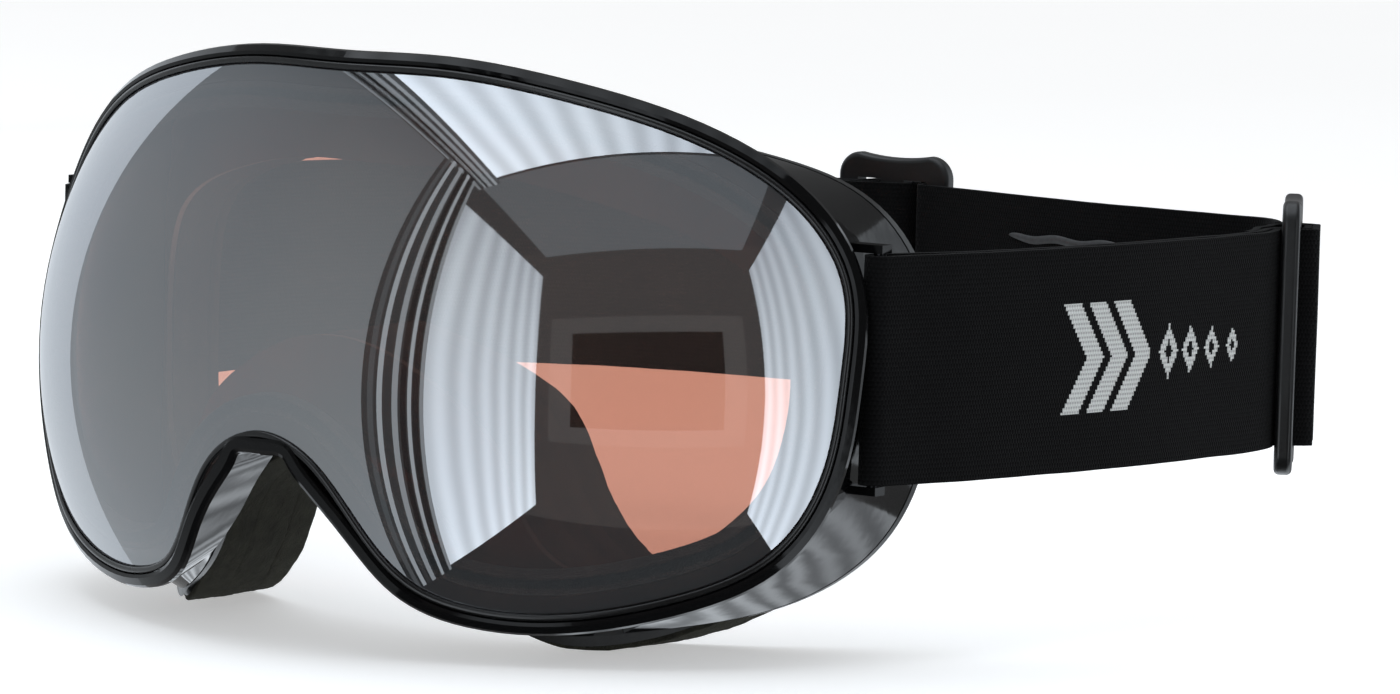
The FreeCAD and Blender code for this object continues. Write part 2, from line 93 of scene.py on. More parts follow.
BAR = np.array([87.4, 10.4])
LEFT_SLIDER, RIGHT_SLIDER = np.array([107, 118.2]), np.array([10, 139.9])

FOAM_LUMPS, FOAM_SEED = [(0.25, 0.25), (1.1, 0.14)], 2.0
VENT_FOAM_T, VENT_LUMPS = 1.4, [(0.9, 0.16), (0.3, 0.12)]

# ---- weave and emblem, in metres along and across the webbing ---------------------------------------
WARP_PITCH, PICK_PITCH = 0.00082, 0.00062
EMBLEM, MARK_PITCH, EMBLEM_STEP = 0.0545, 0.0062, (0.0005, 0.0004)
CHEVRON_HALF, CHEVRON_RISE, CHEVRON_SLANT = 0.0021, 0.0098, 0.62
FIRST_DIAMOND, DIAMOND_HALF, DIAMOND_SHRINK = 0.0195, 0.0027, 0.0003
DIAMOND_SLANT, DIAMOND_HOLE = 0.55, 0.42


# ---- curves ---------------------------------------------------------------------------------------
def chords(points):
    steps = np.linalg.norm(np.diff(np.array(points, float), axis=0), axis=1)
    return np.concatenate([[0], np.cumsum(steps)])


class Curve:
    """Cubic spline through points at the given parameters, with fixed or natural ends."""

    def __init__(self, u, points, first=None, last=None):
        self.u, self.y = np.array(u, float), np.array(points, float)
        n, h = len(self.u), np.diff(self.u)
        slope = np.diff(self.y, axis=0) / h[:, None]
        a, b = np.zeros((n, n)), np.zeros_like(self.y)
        a[0, 0] = a[-1, -1] = 1
        if first is not None:
            a[0, 0], a[0, 1], b[0] = 2 * h[0], h[0], 6 * (slope[0] - first)
            a[-1, -1], a[-1, -2], b[-1] = 2 * h[-1], h[-1], 6 * (np.array(last) - slope[-1])
        for i in range(1, n - 1):
            a[i, i - 1], a[i, i], a[i, i + 1] = h[i - 1], 2 * (h[i - 1] + h[i]), h[i]
            b[i] = 6 * (slope[i] - slope[i - 1])
        self.m = np.linalg.solve(a, b)

    def __call__(self, t, slope=False):
        t = np.atleast_1d(np.array(t, float))
        i = np.clip(np.searchsorted(self.u, t, "right") - 1, 0, len(self.u) - 2)
        h = (self.u[i + 1] - self.u[i])[:, None]
        p, q = (t - self.u[i])[:, None], (self.u[i + 1] - t)[:, None]
        m0, m1, y0, y1 = self.m[i], self.m[i + 1], self.y[i], self.y[i + 1]
        if slope:
            return (m1 * p * p - m0 * q * q) / (2 * h) + (y1 - y0) / h - (m1 - m0) * h / 6
        bend = (m0 * q ** 3 + m1 * p ** 3) / (6 * h)
        return bend + (y0 / h - m0 * h / 6) * q + (y1 / h - m1 * h / 6) * p


KNOTS = chords(LENS_EDGE)
LENGTH = KNOTS[-1]
EDGE, REAR, OUTER, INNER = (Curve(KNOTS, p, (1, 0), (-1, 0))
                            for p in (LENS_EDGE, FRAME_REAR, FOAM_OUTER, FOAM_INNER))


def lens_y(x, z, inset=0.0):
    rx, ry, rz = LENS_RX - inset, LENS_RY - inset, LENS_RZ - inset
    inside = 1 - (x / rx) ** 2 - ((z - LENS_APEX_Z) / rz) ** 2
    return LENS_APEX_Y + LENS_RY - ry * np.sqrt(np.maximum(inside, 0))


def face_y(x):
    return FACE_R - np.sqrt(FACE_R ** 2 - x * x)


def ease(x):
    x = np.clip(x, 0.0, 1.0)
    return x * x * (3 - 2 * x)


def nose_rise(t):
    return NOSE_RISE * ease((t - KNOTS[9]) / (KNOTS[12] - KNOTS[9]))


def unit(v):
    return v / np.linalg.norm(v, axis=-1, keepdims=True)


def across(curve, t):
    """Unit vectors in the X-Z plane pointing away from the lens opening."""
    d = unit(curve(t, True))
    return np.stack([-d[:, 1], d[:, 0]], 1)


class Stations:
    """Sections along one half of the frame, all at once."""

    def __init__(self, t):
        self.t = t
        x, z = EDGE(t).T
        self.edge = np.stack([x, lens_y(x, z), z], 1)
        n = unit(np.stack([x / LENS_RX ** 2, (self.edge[:, 1] - LENS_APEX_Y - LENS_RY) / LENS_RY ** 2,
                           (z - LENS_APEX_Z) / LENS_RZ ** 2], 1))
        flat = across(EDGE, t)
        dip = -(n[:, 0] * flat[:, 1] - n[:, 2] * flat[:, 0]) / n[:, 1]
        along = np.stack([flat[:, 1], dip, -flat[:, 0]], 1)
        m = unit(np.cross(along, n))
        m *= np.sign(m[:, 0] * flat[:, 0] + m[:, 2] * flat[:, 1])[:, None]
        self.m, self.n = m, n
        self.out = across(REAR, t)
        self.back, self.outer, self.inner = REAR(t), OUTER(t), INNER(t)

    def lip(self, u, w):
        return self.edge + self.m * u + self.n * w

    def rear(self, o, y):
        p = self.back + self.out * o
        return np.stack([p[:, 0], face_y(self.back[:, 0]) + y, p[:, 1]], 1)

    def foam(self, f, y, bulge=0.0):
        p = self.outer + (self.inner - self.outer) * f + self.out * bulge
        return np.stack([p[:, 0], face_y(p[:, 0]) + y, p[:, 1]], 1)


# ---- mesh helpers ----------------------------------------------------------------------------------
def piece(name, verts, faces, material, body=None, replaces=(), sharp=50):
    """New smooth mesh from points in millimetres, with its edges over `sharp` degrees kept."""
    mesh = bpy.data.meshes.new(name)
    mesh.from_pydata([tuple(v) for v in np.asarray(verts) * MM], [], faces)
    bm = bmesh.new()
    bm.from_mesh(mesh)
    bmesh.ops.recalc_face_normals(bm, faces=bm.faces)
    bm.to_mesh(mesh)
    bm.free()
    mesh.shade_smooth()
    if sharp:
        mesh.set_sharp_from_angle(angle=math.radians(sharp))
    for m in material if isinstance(material, (list, tuple)) else [material]:
        mesh.materials.append(m)
    o = bpy.data.objects.new(name, mesh)
    scene.collection.objects.link(o)
    if body:
        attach(o, body)
    if replaces:
        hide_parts(*replaces)
    return o


def soften(o, width):
    """Small rounded edges on a moulded part."""
    weld = o.modifiers.new("weld", "WELD")
    weld.merge_threshold = 0.01 * MM
    bevel = o.modifiers.new("edges", "BEVEL")
    bevel.width = width * MM
    bevel.segments = 2
    bevel.limit_method = "ANGLE"
    bevel.angle_limit = math.radians(35)
    bevel.harden_normals = True


def grid_faces(rows, cols, closed=True, start=0):
    """Faces between rows of points; each row is a closed loop, and closed joins the last row to the first."""
    faces = []
    for i in range(rows if closed else rows - 1):
        a, b = start + i * cols, start + (i + 1) % rows * cols
        for j in range(cols):
            c, d = j, (j + 1) % cols
            faces.append((a + c, a + d, b + d, b + c))
    return faces


def tube_faces(rows, cols, start=0):
    """Faces of a tube with a flat cap on each end."""
    last = start + (rows - 1) * cols
    return grid_faces(rows, cols, False, start) + [tuple(range(start, start + cols)),
                                                   tuple(range(last, last + cols))]


def rounded(corners, radius, steps=4, spacing=None):
    """Closed section through the corners (arrays of points), each turned into a short curve, with
    further points between the corners when a spacing is given."""
    def toward(p, q):
        """Where the curve at corner p meets the side that runs to q."""
        d = q - p
        length = np.linalg.norm(d, axis=1, keepdims=True)
        return p + d * (np.minimum(radius, 0.45 * length) / np.maximum(length, 1e-9))

    out, n = [], len(corners)
    for i, p in enumerate(corners):
        after = corners[(i + 1) % n]
        first, last = toward(p, corners[i - 1]), toward(p, after)
        for f in np.linspace(0, 1, steps + 1):
            out.append(first * (1 - f) ** 2 + p * 2 * f * (1 - f) + last * f * f)
        if spacing:
            end = toward(after, p)
            count = int(np.median(np.linalg.norm(end - last, axis=1)) / spacing)
            out += [last + (end - last) * k / (count + 1) for k in range(1, count + 1)]
    return out


def ring(section, radius, half=150, spacing=None, steps=3):
    """Grid of points of a closed ring: (stations, section, 3), left half then its mirror image."""
    s = Stations(np.linspace(0, LENGTH, half))
    left = np.stack(rounded(section(s), radius, steps, spacing), 1)
    right = left[-2:0:-1] * np.array([-1, 1, 1])
    return np.concatenate([left, right])


def ring_piece(name, grid, material, body, replaces):
    rows, cols = grid.shape[:2]
    return piece(name, grid.reshape(-1, 3), grid_faces(rows, cols), material, body, replaces)


# ---- shaders ---------------------------------------------------------------------------------------
def add_node(tree, kind, inputs=None, **props):
    """New node; inputs are values or sockets, props are its own settings."""
    n = tree.nodes.new(kind)
    for key, value in props.items():
        setattr(n, key, value)
    for key, value in (inputs or {}).items():
        if isinstance(value, bpy.types.NodeSocket):
            tree.links.new(value, n.inputs[key])
        else:
            n.inputs[key].default_value = value
    return n


class Shader:
    """Short way to build a node material around one Principled shader."""

    def __init__(self, name, color, rough, metallic=0.0, fixed=None):
        self.material = bpy.data.materials.new(name)
        self.material.use_nodes = True
        self.tree = self.material.node_tree
        self.main = self.tree.nodes["Principled BSDF"]
        values = {"Base Color": (*color, 1), "Roughness": rough, "Metallic": metallic}
        values.update(fixed or {})
        for key, value in values.items():
            self.main.inputs[key].default_value = value
        self.coords = None

    def node(self, kind, inputs=None, **props):
        return add_node(self.tree, kind, inputs, **props)

    def place(self):
        if self.coords is None:
            self.coords = self.node("ShaderNodeTexCoord").outputs["Object"]
        return self.coords

    def noise(self, scale, detail=4.0, rough=0.55):
        return self.node("ShaderNodeTexNoise", {"Vector": self.place(), "Scale": scale,
                                                "Detail": detail, "Roughness": rough}).outputs["Fac"]

    def cells(self, scale):
        return self.node("ShaderNodeTexVoronoi", {"Vector": self.place(), "Scale": scale}).outputs["Distance"]

    def ramp(self, source, low, high, a, b):
        """Linear map of source from low..high to a..b, clamped."""
        return self.node("ShaderNodeMapRange", {"Value": source, "From Min": low, "From Max": high,
                                                "To Min": a, "To Max": b}).outputs["Result"]

    def math(self, kind, a, b=0.0, c=0.0):
        return self.node("ShaderNodeMath", {0: a, 1: b, 2: c}, operation=kind).outputs[0]

    def mix(self, factor, a, b):
        a, b = ((*x, 1) if isinstance(x, tuple) else x for x in (a, b))
        return self.node("ShaderNodeMix", {0: factor, 6: a, 7: b}, data_type="RGBA").outputs[2]

    def use(self, key, source):
        self.tree.links.new(source, self.main.inputs[key])

    def bump(self, height, strength, distance):
        self.use("Normal", self.node("ShaderNodeBump", {"Height": height, "Strength": strength,
                                                        "Distance": distance}).outputs["Normal"])


def gloss_black(name, peel, level):
    """Polished injection-moulded plastic: faint orange peel, smears and dust."""
    s = Shader(name, (0.005, 0.005, 0.005), 0.07, fixed={"Specular IOR Level": level})
    smear = s.noise(38, 5)
    dust = s.ramp(s.noise(5200, 2, 0.5), 0.72, 0.77, 0, 1)
    s.use("Roughness", s.math("MULTIPLY_ADD", dust, 0.25, s.ramp(smear, 0.35, 0.75, 0.03, 0.12)))
    s.use("Base Color", s.mix(dust, (0.0025, 0.0025, 0.0027), (0.02, 0.02, 0.021)))
    s.bump(s.noise(260, 2), peel, 0.0004)
    return s.material


def satin(name, color, rough, bump=0.25):
    """Moulded plastic or rubber with a fine spark-eroded grain."""
    s = Shader(name, color, 0.45)
    fine = s.noise(1400, 3, 0.6)
    wide = s.noise(60, 4)
    s.use("Roughness", s.ramp(wide, 0.3, 0.7, *rough))
    s.use("Base Color", s.mix(s.ramp(fine, 0.3, 0.8, 0, 1), color, tuple(c * 1.7 + 0.002 for c in color)))
    s.bump(fine, bump, 0.00006)
    return s.material


def foam_material(name, dark, light, pore):
    """Open-cell foam: pores, tonal mottling, no gloss."""
    s = Shader(name, dark, 0.95, fixed={"Specular IOR Level": 0.1, "Sheen Weight": 0.10,
                                        "Sheen Roughness": 0.6})
    pores = s.cells(pore)
    mottle = s.noise(420, 6, 0.75)
    grain = s.noise(2600, 4, 0.7)
    tone = s.math("MULTIPLY", s.ramp(mottle, 0.35, 0.65, 0.25, 1.2), s.ramp(pores, 0.1, 0.6, 0.5, 1.0))
    s.use("Base Color", s.mix(s.math("MULTIPLY", tone, s.ramp(grain, 0.35, 0.7, 0.5, 1.0)), dark, light))
    s.use("Roughness", s.ramp(grain, 0.3, 0.7, 0.85, 1.0))
    s.bump(s.math("MULTIPLY_ADD", pores, 0.6, grain), 0.8, 0.0004)
    return s.material


def fleece_material(name):
    """Brushed fleece and the foam it is laminated on: short matted pile, dark olive."""
    dark, light = (0.006, 0.006, 0.0045), (0.055, 0.055, 0.041)
    s = Shader(name, dark, 1.0, fixed={"Specular IOR Level": 0.15, "Sheen Weight": 0.12,
                                       "Sheen Roughness": 0.45, "Sheen Tint": (0.75, 0.74, 0.62, 1)})
    clumps = s.noise(420, 5, 0.7)
    pile = s.noise(3400, 3, 0.75)
    wide = s.noise(70, 3)
    tone = s.math("MULTIPLY", s.ramp(clumps, 0.32, 0.68, 0.15, 1.0), s.ramp(pile, 0.35, 0.68, 0.35, 1.0))
    s.use("Base Color", s.mix(s.math("MULTIPLY", tone, s.ramp(wide, 0.35, 0.65, 0.65, 1.0)), dark, light))
    s.use("Roughness", s.ramp(clumps, 0.3, 0.7, 0.9, 1.0))
    s.bump(s.math("MULTIPLY_ADD", clumps, 0.8, pile), 1.0, 0.0006)
    return s.material


def emblem(s, u, v):
    """Mask of three chevrons and four shrinking diamonds, stepped to the pitch of the threads."""
    def stepped(x, pitch):
        return s.math("MULTIPLY", s.math("FLOOR", s.math("DIVIDE", x, pitch)), pitch)

    cu, rise = stepped(u, EMBLEM_STEP[0]), s.math("ABSOLUTE", stepped(v, EMBLEM_STEP[1]))
    marks = []
    for i in range(3):
        x = s.math("SUBTRACT", cu, EMBLEM + MARK_PITCH * i)
        line = s.math("ABSOLUTE", s.math("MULTIPLY_ADD", rise, CHEVRON_SLANT, x))
        marks.append(s.math("MULTIPLY", s.math("LESS_THAN", line, CHEVRON_HALF),
                            s.math("LESS_THAN", rise, CHEVRON_RISE)))
    for i in range(4):
        x = s.math("ABSOLUTE", s.math("SUBTRACT", cu, EMBLEM + FIRST_DIAMOND + MARK_PITCH * i))
        size = DIAMOND_HALF - DIAMOND_SHRINK * i
        reach = s.math("ADD", x, s.math("MULTIPLY", rise, DIAMOND_SLANT))
        hole = s.math("GREATER_THAN", reach, size * DIAMOND_HOLE)
        marks.append(s.math("MULTIPLY", s.math("LESS_THAN", reach, size), hole))
    mask = marks[0]
    for mark in marks[1:]:
        mask = s.math("MAXIMUM", mask, mark)
    return mask


def webbing_material():
    """Woven elastic.  UV is metres along the strap and across it: warp ribs, weft picks, fuzz, and
    the pale woven emblem on the outer face; thread crowns painted lighter and hollows painted darker as
    painted highlight and shade."""
    base, high, pale = (0.0016, 0.0016, 0.0018), (0.0068, 0.0068, 0.0072), (0.62, 0.63, 0.62)
    s = Shader("webbing", base, 0.92, fixed={"Specular IOR Level": 0.1, "Sheen Weight": 0.03,
                                             "Sheen Roughness": 0.5})
    uv = s.node("ShaderNodeUVMap", uv_map="strap").outputs["UV"]
    parts = s.node("ShaderNodeSeparateXYZ", {"Vector": uv})
    u, v = parts.outputs["X"], parts.outputs["Y"]
    across_strap = s.math("DIVIDE", v, WARP_PITCH)
    shift = s.math("MULTIPLY", s.math("MODULO", s.math("FLOOR", across_strap), 2.0), 0.5)
    along_strap = s.math("ADD", s.math("DIVIDE", u, PICK_PITCH), shift)
    weft = s.math("SINE", s.math("MULTIPLY", along_strap, 2 * math.pi))
    warp = s.math("SINE", s.math("MULTIPLY", across_strap, 2 * math.pi))
    weave = s.math("MULTIPLY_ADD", weft, 0.5, s.math("MULTIPLY", warp, 0.6))
    fuzz = s.noise(2600, 4, 0.75)
    wide = s.noise(90, 4)
    outer = s.node("ShaderNodeAttribute", attribute_name="outer").outputs["Fac"]
    mask = s.math("MULTIPLY", emblem(s, u, v), outer)
    # the emblem's threads are painted paler on their crowns and darker between them: painted highlight and
    # shade
    ink = s.math("MULTIPLY", mask, s.ramp(weave, -0.9, 0.5, 0.55, 1.0))
    # painted highlight on the thread crowns and painted shade in the hollows of the weave; high is the
    # painted highlight colour of the black yarn
    painted_weave_light = s.math("MULTIPLY", s.ramp(weave, -0.6, 0.9, 0.1, 1.0), s.ramp(fuzz, 0.35, 0.7, 0.35, 1.0))
    dark = s.mix(s.ramp(wide, 0.35, 0.7, 0.0, 0.35), s.mix(painted_weave_light, base, high), base)
    s.use("Base Color", s.mix(ink, dark, pale))
    s.use("Roughness", s.ramp(fuzz, 0.3, 0.7, 0.8, 1.0))
    raised = s.math("MULTIPLY_ADD", fuzz, 0.7, s.math("MULTIPLY", mask, 0.5))
    s.bump(s.math("MULTIPLY_ADD", weave, 0.5, raised), 0.7, 0.00022)
    return s.material


def mirror_material():
    """Silver-flash coating: reflects about a third, lets the rest through; faint smears."""
    s = Shader("lens_mirror", (0.60, 0.63, 0.67), 0.015, 1.0)
    tone = s.ramp(s.noise(9, 3), 0.35, 0.65, 0, 1)
    s.use("Base Color", s.mix(tone, (0.58, 0.61, 0.66), (0.64, 0.66, 0.68)))
    s.use("Roughness", s.ramp(s.noise(24, 5, 0.6), 0.45, 0.8, 0.008, 0.05))
    fresnel = s.node("ShaderNodeLayerWeight", {"Blend": 0.35}).outputs["Facing"]
    s.use("Alpha", s.ramp(fresnel, 0.2, 1.0, 0.50, 0.86))
    return s.material


def clear_material():
    s = Shader("lens_clear", (0.9, 0.5, 0.38), 0.03)
    s.use("Alpha", s.ramp(s.noise(30, 4), 0.4, 0.7, 0.03, 0.06))
    return s.material


def tint_material():
    """Rose-orange tint of the inner sheet, seen through only."""
    s = Shader("lens_tint", (0.93, 0.40, 0.27), 0.0, fixed={"Transmission Weight": 1.0, "IOR": 1.04})
    tone = s.ramp(s.noise(14, 3), 0.3, 0.7, 0, 1)
    s.use("Base Color", s.mix(tone, (0.93, 0.38, 0.26), (0.94, 0.42, 0.29)))
    return s.material


def steel_material():
    s = Shader("bar_steel", (0.03, 0.03, 0.032), 0.3, 1.0)
    s.use("Roughness", s.ramp(s.noise(900, 3), 0.3, 0.7, 0.2, 0.42))
    s.bump(s.noise(2200, 2), 0.15, 0.00005)
    return s.material


def thread_material():
    s = Shader("thread", (0.014, 0.014, 0.015), 0.7, fixed={"Sheen Weight": 0.3})
    twist = s.node("ShaderNodeTexWave", {"Vector": s.place(), "Scale": 900.0, "Distortion": 2.0},
                   bands_direction="DIAGONAL").outputs["Fac"]
    s.use("Base Color", s.mix(twist, (0.009, 0.009, 0.010), (0.04, 0.04, 0.042)))
    s.use("Roughness", s.ramp(twist, 0, 1, 0.6, 0.85))
    s.bump(twist, 0.5, 0.0001)
    return s.material


# ---- lenses ----------------------------------------------------------------------------------------
def lens_piece(name, grow, inset, thickness, materials, node, pitch=2.2):
    """Curved sheet; its front face has the first finish, its back and edge the second."""
    s = Stations(np.linspace(0, LENGTH, 130))
    right = s.lip(grow, -inset)[:, [0, 2]]
    rim = np.concatenate([right, right[-2:0:-1] * np.array([-1, 1])])
    count = len(rim)
    xs, zs = np.meshgrid(np.arange(-90, 91, pitch), np.arange(-52, 52, pitch))
    xs[::2] += pitch / 2
    points = np.stack([xs.ravel(), zs.ravel()], 1)
    gap = np.linalg.norm(points[:, None] - rim[None], axis=2).min(1)
    a, b = rim, np.roll(rim, -1, 0)
    crosses = (a[None, :, 1] > points[:, None, 1]) != (b[None, :, 1] > points[:, None, 1])
    at = (b - a)[None, :, 0] * (points[:, None, 1] - a[None, :, 1]) / (b - a)[None, :, 1] + a[None, :, 0]
    inside = (crosses & (points[:, None, 0] < at)).sum(1) % 2 == 1
    points = points[inside & (gap > 0.6 * pitch)]
    flat = [Vector(p) for p in np.concatenate([rim, points])]
    loop = [(i, (i + 1) % count) for i in range(count)]
    verts, _, tris, *_ = delaunay_2d_cdt(flat, loop, [], 1, 1e-5)
    xz = np.array([tuple(v) for v in verts])
    front = np.stack([xz[:, 0], lens_y(xz[:, 0], xz[:, 1], inset), xz[:, 1]], 1)
    radii = np.array([LENS_RX - inset, LENS_RY - inset, LENS_RZ - inset])
    centre = np.array([0, LENS_APEX_Y + LENS_RY, LENS_APEX_Z])
    normal = unit((front - centre) / radii ** 2)
    back = front - normal * thickness
    n = len(front)
    faces = [tuple(t) for t in tris] + [tuple(n + i for i in t[::-1]) for t in tris]
    faces += [(i, j, n + j, n + i) for i, j in loop]
    o = piece(name, np.concatenate([front, back]), faces, materials, "goggles", [node], sharp=0)
    o.data.polygons.foreach_set("material_index", [0] * len(tris) + [1] * (len(faces) - len(tris)))
    o.data.normals_split_custom_set_from_vertices(np.concatenate([normal, -normal]))
    return o


# ---- rings of the frame ----------------------------------------------------------------------------
def bead(s):
    return [s.lip(0.0, 0.05), s.lip(0.1, 0.55), s.lip(0.6, 0.85), s.lip(1.2, 0.7), s.lip(1.2, 0.05)]


def spacer(s):
    back = -LENS_T - AIR_GAP + GAP
    return [s.lip(-2.6, -LENS_T - GAP), s.lip(-2.6, back), s.lip(-6.0, back), s.lip(-6.0, -LENS_T - GAP)]


def foam_layer(front, back, swell, rise, lean):
    """Soft layer: bulged outside by swell, less at its front edge (lean), and lifted round the nose by
    a third of the rise for each layer behind it."""
    def section(s):
        lift = nose_rise(s.t)[:, None]
        y0, y1 = (front - lift * (rise + 1) / 3)[:, 0], (back - lift * rise / 3)[:, 0]
        mid = (y0 + y1) / 2
        return [s.foam(0.0, y0, swell * lean), s.foam(0.0, (y0 * 2 + y1) / 3, swell * (1 + lean) / 2),
                s.foam(0.0, (y0 + 2 * y1) / 3, swell), s.foam(0.0, y1, swell * 0.97),
                s.foam(0.25, y1), s.foam(0.5, y1), s.foam(0.75, y1), s.foam(0.965, y1),
                s.foam(1.0, mid), s.foam(0.97, y0), s.foam(0.5, y0)]
    return section


def roughen(grid, lumps, seed):
    """Lumps (waves per mm, height) pushed in and out of a section, so that foam doesn't look machined."""
    centre = grid.mean(1, keepdims=True)
    out = unit(grid - centre)
    push = np.zeros(grid.shape[:2])
    flat = grid.reshape(-1, 3)
    for scale, height in lumps:
        values = [noise.noise(Vector(p * scale) + Vector((seed, seed * 2, 0))) for p in flat]
        push += np.array(values).reshape(push.shape) * height
    return grid + out * push[..., None]


def foam_piece(name, section, material, node, radius):
    grid = ring(section, radius, half=230, spacing=1.1)
    o = ring_piece(name, roughen(grid, FOAM_LUMPS, FOAM_SEED), material, "goggles", [node])


def vent_foam_piece(name, t0, t1, middle, node, material, seed):
    """Thin foam strip glued inside the wall, over its openings: one strip through the middle of the
    frame, or one on each side of it."""
    t = np.linspace(t0, t1, 70)
    s = Stations(t)
    y = -FOAM_T - FLANGE_T - nose_rise(t)
    start, end = s.lip(1.6 - WALL_T, -RIM_T - GAP), s.rear(-WALL_T - 0.4, y - 0.4)
    out = np.stack([s.out[:, 0], 0 * t, s.out[:, 1]], 1)
    front, back = start + (end - start) * 0.22, start + (end - start) * 0.80
    inner = out * VENT_FOAM_T
    section = rounded([front, back, back - inner, front - inner], 0.4, 3, 0.8)
    grid = roughen(np.stack(section, 1), VENT_LUMPS, seed)
    mirror = grid * np.array([-1, 1, 1])
    parts = [np.concatenate([mirror[:0:-1], grid])] if middle else [grid, mirror]
    verts, faces = [], []
    for g in parts:
        rows, cols = g.shape[:2]
        base = len(verts)
        verts += list(g.reshape(-1, 3))
        faces += tube_faces(rows, cols, base)
    return piece(name, verts, faces, material, "goggles", [node])


# ---- strap -----------------------------------------------------------------------------------------
PATH = Curve(chords(STRAP_PATH), STRAP_PATH)
FINE = np.linspace(0, PATH.u[-1], 6000)
FINE_XY = PATH(FINE)
FINE_S = chords(FINE_XY)
PATH_LENGTH = FINE_S[-1]


def along(s, level=0.0):
    """Plan points at the arc lengths s, `level` outside the middle of the webbing."""
    s = np.atleast_1d(np.array(s, float))
    t = np.interp(np.clip(s, 0, PATH_LENGTH), FINE_S, FINE)
    d = unit(PATH(t, True))
    return PATH(t) + np.stack([d[:, 1], -d[:, 0]], 1) * np.reshape(level, (-1, 1))


def arc_length(p):
    return FINE_S[np.linalg.norm(FINE_XY - p, axis=1).argmin()]


LEFT_S, RIGHT_S = arc_length(LEFT_SLIDER), arc_length(RIGHT_SLIDER)
LAYER = STRAP_T + 0.6                                   # pitch of the strap's two layers
PLATE_LEVEL = STRAP_T / 2 + 0.4 + SLIDER_T / 2
PASS_LEVEL = PLATE_LEVEL + SLIDER_T / 2 + 0.62 + STRAP_T * 1.5
HOLD, EASE = 10.0, 30.0                                 # distances along the webbing from each adjuster
TAIL_START, TAIL_END, TAIL_EASE = 0.6, 17.0, 40.0
PLAN_STEP = 2.2


def band_level(s):
    """The outer layer's height: it climbs over the middle bar of each adjuster."""
    level = 0 * s
    for centre in (LEFT_S, RIGHT_S):
        level = np.maximum(level, PASS_LEVEL * ease((MIDDLE_BAR + SLOT_L - 0.5 - abs(s - centre)) / 2.2))
    return level


def half_turn():
    """Plan points round the anchor bar, from the inner layer to the outer."""
    outer = along(0)[0] - BAR
    a = np.pi * (1 - np.linspace(0, 1, 14)[:-1])
    return BAR + np.stack([outer[0] * np.cos(a) + outer[1] * np.sin(a),
                           outer[1] * np.cos(a) - outer[0] * np.sin(a)], 1)


def webbing(name, plan, start, body, nodes_for):
    """Flat woven band along plan points: rounded selvedges, faint waviness.  UV in metres."""
    plan = np.asarray(plan)
    s = start + chords(plan)
    d = unit(np.gradient(plan, axis=0))
    side = np.stack([d[:, 1], -d[:, 0]], 1)
    z = np.linspace(-1, 1, 26) * (STRAP_W / 2 - 0.35)
    edge = [(0.30, 0.55), (0.35, 0.0), (0.30, -0.55)]
    profile = [(x, 0.5) for x in z] + [(z[-1] + e, k / 1.1) for e, k in edge]
    profile += [(x, -0.5) for x in z[::-1]] + [(z[0] - e, -k / 1.1) for e, k in edge]
    profile = np.array(profile)
    wave = np.array([[0.10 * noise.noise(Vector((a * 0.03, b * 0.05, 3.0))) for b in profile[:, 0]]
                     for a in s])
    edge_wave = np.array([0.16 * noise.noise(Vector((a * 0.11, 9.0, 0.0))) for a in s])
    t = profile[None, :, 1] * STRAP_T * 0.94 + wave
    xy = plan[:, None] + side[:, None] * t[..., None]
    zz = profile[None, :, 0] * (1 + edge_wave[:, None] / STRAP_W)
    grid = np.concatenate([xy, np.broadcast_to(zz, xy.shape[:2])[..., None]], 2)
    rows, cols = grid.shape[:2]
    o = piece(name, grid.reshape(-1, 3), tube_faces(rows, cols), MAT["webbing"], None, nodes_for)
    uv = o.data.uv_layers.new(name="strap")
    us, vs = np.repeat(s, cols) * MM, np.tile(profile[:, 0], rows) * MM
    index = np.zeros(len(o.data.loops), int)
    o.data.loops.foreach_get("vertex_index", index)
    uv.data.foreach_set("uv", np.stack([us[index], vs[index]], 1).ravel())
    outer = o.data.attributes.new("outer", "FLOAT", "POINT")
    outer.data.foreach_set("value", np.tile((profile[:, 1] > 0).astype(float), rows))
    if body:
        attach(o, body)
    return o


def spot(s):
    """Place on the strap's middle line, in metres."""
    x, y = along(s)[0]
    return x * MM, y * MM, 0.0


def band_plan(first, last):
    """Arc lengths of the band's rows, closer where it climbs over an adjuster's middle bar."""
    count = max(int(abs(last - first) / PLAN_STEP), 2)
    s = set(np.linspace(first, last, count + 1))
    for centre in (LEFT_S, RIGHT_S):
        s |= {centre + x for x in np.arange(-11, 11.01, 0.45) if first < centre + x < last}
    s = np.array(sorted(s))
    return s[np.concatenate([[True], np.diff(s) > 0.15])]


def strap():
    """Outer layer, cut at both adjusters and in the middle of the back."""
    turn = half_turn()
    mid = (LEFT_S + RIGHT_S) / 2
    flip = np.array([-1, 1])

    def run(a, b):
        s = band_plan(a, b)
        return along(s, band_level(s))

    first = webbing("strap_side_left", np.concatenate([turn, run(0.4, LEFT_S)]), 0, None,
                    ["webbing_side_left", "webbing_pass_left"])
    spot(LEFT_S - EASE)
    spot(LEFT_S - HOLD)
    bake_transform(first)
    a = webbing("strap_back_left", run(LEFT_S, mid), LEFT_S, None, ["webbing_back"])
    spot(LEFT_S + HOLD)
    spot(LEFT_S + EASE)
    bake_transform(a)
    b = webbing("strap_back_right", run(mid, RIGHT_S), mid, None, ["webbing_pass_right"])
    spot(RIGHT_S - EASE)
    spot(RIGHT_S - HOLD)
    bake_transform(b)
    last = webbing("strap_side_right", np.concatenate([run(RIGHT_S, PATH_LENGTH - 0.4), (turn * flip)[::-1]]),
                   RIGHT_S, None, ["webbing_side_right"])
    spot(RIGHT_S + HOLD)
    spot(RIGHT_S + EASE)
    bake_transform(last)


